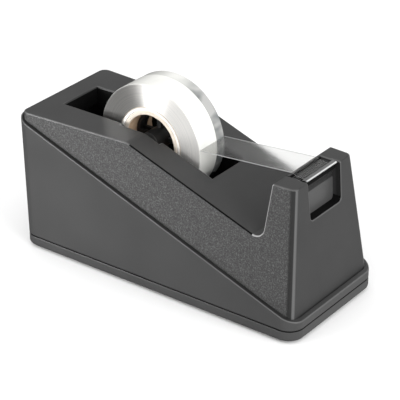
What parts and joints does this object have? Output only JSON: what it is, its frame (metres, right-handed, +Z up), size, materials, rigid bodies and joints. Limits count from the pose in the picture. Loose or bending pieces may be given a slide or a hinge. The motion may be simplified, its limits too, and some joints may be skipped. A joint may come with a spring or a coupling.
{
  "type": "tape dispenser",
  "caption": "Weighted desktop tape dispenser: two-tone grey wedge with a drop-in roll of clear tape, a strand over the platform and a toothed steel cutter.",
  "frame": {"origin": "centre of the footprint's bounding box, on the surface that the anti-slip pad rests on", "axes": "+X towards the cutter, +Y across the object, to the left when looking along +X, +Z up"},
  "size_m": [0.1538, 0.065, 0.088],
  "materials": {
    "grained_plastic": "fine speckled grain on the tilted sides, smooth satin on the top and front",
    "smooth_plastic": "smooth satin",
    "dark_plastic": "satin, near black",
    "pad_rubber": "matt fine-grained foam rubber",
    "ballast_steel": "rolled plate, as cut",
    "screw_steel": "zinc plated",
    "blade_steel": "bright spring steel",
    "core_card": "white-faced card tube, tan inside",
    "wound_film": "tightly wound clear film, milky and glossy",
    "clear_film": "single layer of clear glossy film"
  },
  "bodies": {
    "housing": {"antislip_pad": "pad_rubber", "base_plate": "smooth_plastic", "lower_housing": "smooth_plastic", "upper_housing": "grained_plastic", "ballast_plate_lower": "ballast_steel", "ballast_plate_upper": "ballast_steel", "case_screw_rear_right": "screw_steel", "case_screw_rear_left": "screw_steel", "case_screw_front_right": "screw_steel", "case_screw_front_left": "screw_steel", "ballast_screw_rear": "screw_steel", "ballast_screw_front": "screw_steel", "platform_screw_right": "screw_steel", "platform_screw_left": "screw_steel", "tape_platform": "dark_plastic", "cutter_blade": "blade_steel", "tape_strand": "clear_film"},
    "axle": {"axle_pin": "screw_steel", "axle_end_right": "dark_plastic", "axle_end_left": "dark_plastic"},
    "roll": {"hub_half_right": "dark_plastic", "hub_half_left": "dark_plastic", "tape_core": "core_card", "tape_roll": "wound_film"}
  },
  "joints": [
    {"name": "axle_lift", "type": "slide", "parent": "housing", "child": "axle", "axis": [0, 0, 1], "range_m": [0, 0.045]},
    {"name": "roll_spin", "type": "hinge", "parent": "axle", "child": "roll", "pos_m": [-0.0172, 0, 0.0604], "axis": [0, 1, 0], "continuous": true}
  ]
}
